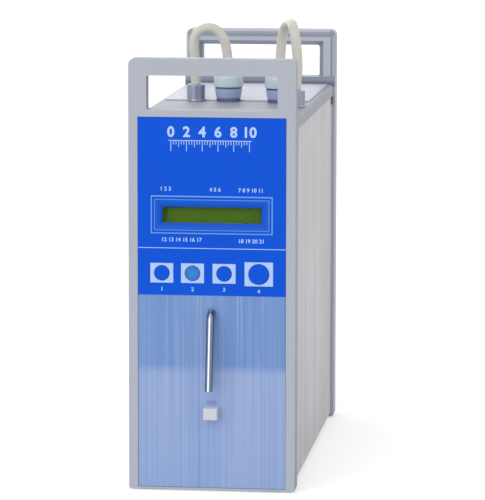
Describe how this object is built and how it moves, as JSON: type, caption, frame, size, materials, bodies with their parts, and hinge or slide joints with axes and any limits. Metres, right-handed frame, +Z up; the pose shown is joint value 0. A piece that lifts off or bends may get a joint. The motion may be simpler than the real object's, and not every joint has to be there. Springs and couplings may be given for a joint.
{
  "type": "milk analyzer",
  "caption": "Narrow upright bench milk analyzer: two end frames with carrying handles, a display and push keys in front, an intake pipe, and looped tubes between ports on top.",
  "frame": {"origin": "centre of the instrument's box at the rest surface under its feet", "axes": "+X to the right seen from the front panel, +Y from the front panel to the rear, +Z up"},
  "size_m": [0.1, 0.2914, 0.2779],
  "materials": {
    "frame_plastic": "satin grey moulding",
    "sheet_paint": "satin light grey paint on sheet steel",
    "port_plate_paint": "smooth pale grey paint",
    "brushed_panel": "brushed, cool blue-grey",
    "overlay_blue": "printed blue film with white marks",
    "bezel_blue": "clear-coated blue frame with pale edges",
    "window_green": "green display pane",
    "lcd_metal": "thin black steel",
    "lcd_glass": "display glass",
    "board_green": "circuit board",
    "component_black": "moulded components",
    "key_blue": "glossy blue domes",
    "key_white": "white plastic",
    "stainless": "polished stainless tube",
    "chrome": "bright plated",
    "cream_plastic": "cream moulding",
    "union_plastic": "blue-grey translucent moulding",
    "cap_plastic": "pale greenish translucent moulding",
    "dark_rubber": "matt rubber",
    "tube_silicone": "translucent off-white silicone",
    "inner_steel": "zinc plated sheet",
    "cell_acrylic": "clear acrylic block",
    "black_plastic": "black moulding",
    "steel_screw": "darkened steel",
    "motor_metal": "plated can",
    "ribbon_grey": "flat grey cable",
    "white_pom": "white acetal"
  },
  "bodies": {
    "instrument": {"board_components": "component_black", "board_screws": "steel_screw", "board_standoffs": "chrome", "case_screws": "steel_screw", "casing": "sheet_paint", "cell_clamps": "inner_steel", "cell_sensors": "motor_metal", "chassis": "inner_steel", "cup_rest": "cream_plastic", "display_bezel": "bezel_blue", "display_window": "window_green", "front_board": "board_green", "front_frame": "frame_plastic", "front_plate": "brushed_panel", "inner_hoses": "tube_silicone", "intake_pipe": "stainless", "key_surrounds": "key_white", "key_switches": "component_black", "keypad_overlay": "overlay_blue", "lcd_frame": "lcd_metal", "lcd_glass": "lcd_glass", "main_board": "board_green", "measuring_cell": "cell_acrylic", "panel_nuts": "chrome", "pipe_gland": "chrome", "port_a": "chrome", "port_b": "union_plastic", "port_c": "union_plastic", "port_d": "chrome", "port_gaskets": "dark_rubber", "port_nuts": "chrome", "port_plate": "port_plate_paint", "power_inlet": "black_plastic", "power_supply": "black_plastic", "pump_housing": "white_pom", "pump_lid": "cell_acrylic", "pump_motor": "motor_metal", "pump_tube": "tube_silicone", "rear_frame": "frame_plastic", "rear_plate": "brushed_panel", "ribbon_cable": "ribbon_grey", "rubber_feet": "dark_rubber", "serial_ports": "lcd_metal", "serial_posts": "chrome", "switch_body": "black_plastic", "top_cover": "sheet_paint", "tube_left": "tube_silicone", "tube_right": "tube_silicone"},
    "key_1": {"key_1": "key_blue"},
    "key_2": {"key_2": "key_blue"},
    "key_3": {"key_3": "key_blue"},
    "key_4": {"key_4": "key_blue"},
    "cap_b": {"port_b_cap": "cap_plastic"},
    "cap_c": {"port_c_cap": "cap_plastic"},
    "rotor": {"pump_rotor": "white_pom", "motor_shaft": "stainless"},
    "roller_1": {"pump_roller_1": "white_pom"},
    "roller_2": {"pump_roller_2": "white_pom"},
    "drawer": {"fuse_drawer": "black_plastic"},
    "rocker": {"power_rocker": "black_plastic"}
  },
  "joints": [
    {"name": "key_1_press", "type": "slide", "parent": "instrument", "child": "key_1", "axis": [0, 1, 0], "range_m": [0, 0.0005], "stiffness_N_per_m": 2000, "springref_m": -0.0002},
    {"name": "key_2_press", "type": "slide", "parent": "instrument", "child": "key_2", "axis": [0, 1, 0], "range_m": [0, 0.0005], "stiffness_N_per_m": 2000, "springref_m": -0.0002},
    {"name": "key_3_press", "type": "slide", "parent": "instrument", "child": "key_3", "axis": [0, 1, 0], "range_m": [0, 0.0005], "stiffness_N_per_m": 2000, "springref_m": -0.0002},
    {"name": "key_4_press", "type": "slide", "parent": "instrument", "child": "key_4", "axis": [0, 1, 0], "range_m": [0, 0.0005], "stiffness_N_per_m": 2000, "springref_m": -0.0002},
    {"name": "cap_b_turn", "type": "hinge", "parent": "instrument", "child": "cap_b", "pos_m": [-0.0051, -0.00547, 0.235], "axis": [0, 0, 1], "range_deg": [0, 270]},
    {"name": "cap_c_turn", "type": "hinge", "parent": "instrument", "child": "cap_c", "pos_m": [0.0277, -0.01147, 0.235], "axis": [0, 0, 1], "range_deg": [0, 270]},
    {"name": "pump_spin", "type": "hinge", "parent": "instrument", "child": "rotor", "pos_m": [-0.01, -0.04947, 0.062], "axis": [1, 0, 0], "continuous": true},
    {"name": "roller_1_spin", "type": "hinge", "parent": "rotor", "child": "roller_1", "pos_m": [-0.01, -0.04947, 0.0741], "axis": [1, 0, 0], "continuous": true},
    {"name": "roller_2_spin", "type": "hinge", "parent": "rotor", "child": "roller_2", "pos_m": [-0.01, -0.04947, 0.0499], "axis": [1, 0, 0], "continuous": true},
    {"name": "fuse_drawer_slide", "type": "slide", "parent": "instrument", "child": "drawer", "axis": [0, 1, 0], "range_m": [0, 0.012]},
    {"name": "power_rocker_tilt", "type": "hinge", "parent": "instrument", "child": "rocker", "pos_m": [0, 0.13873, 0.092], "axis": [1, 0, 0], "range_deg": [0, 20]}
  ],
  "couplings": [
    {"joint": "roller_1_spin", "follows": "pump_spin", "ratio": -3.7778},
    {"joint": "roller_2_spin", "follows": "pump_spin", "ratio": -3.7778}
  ]
}
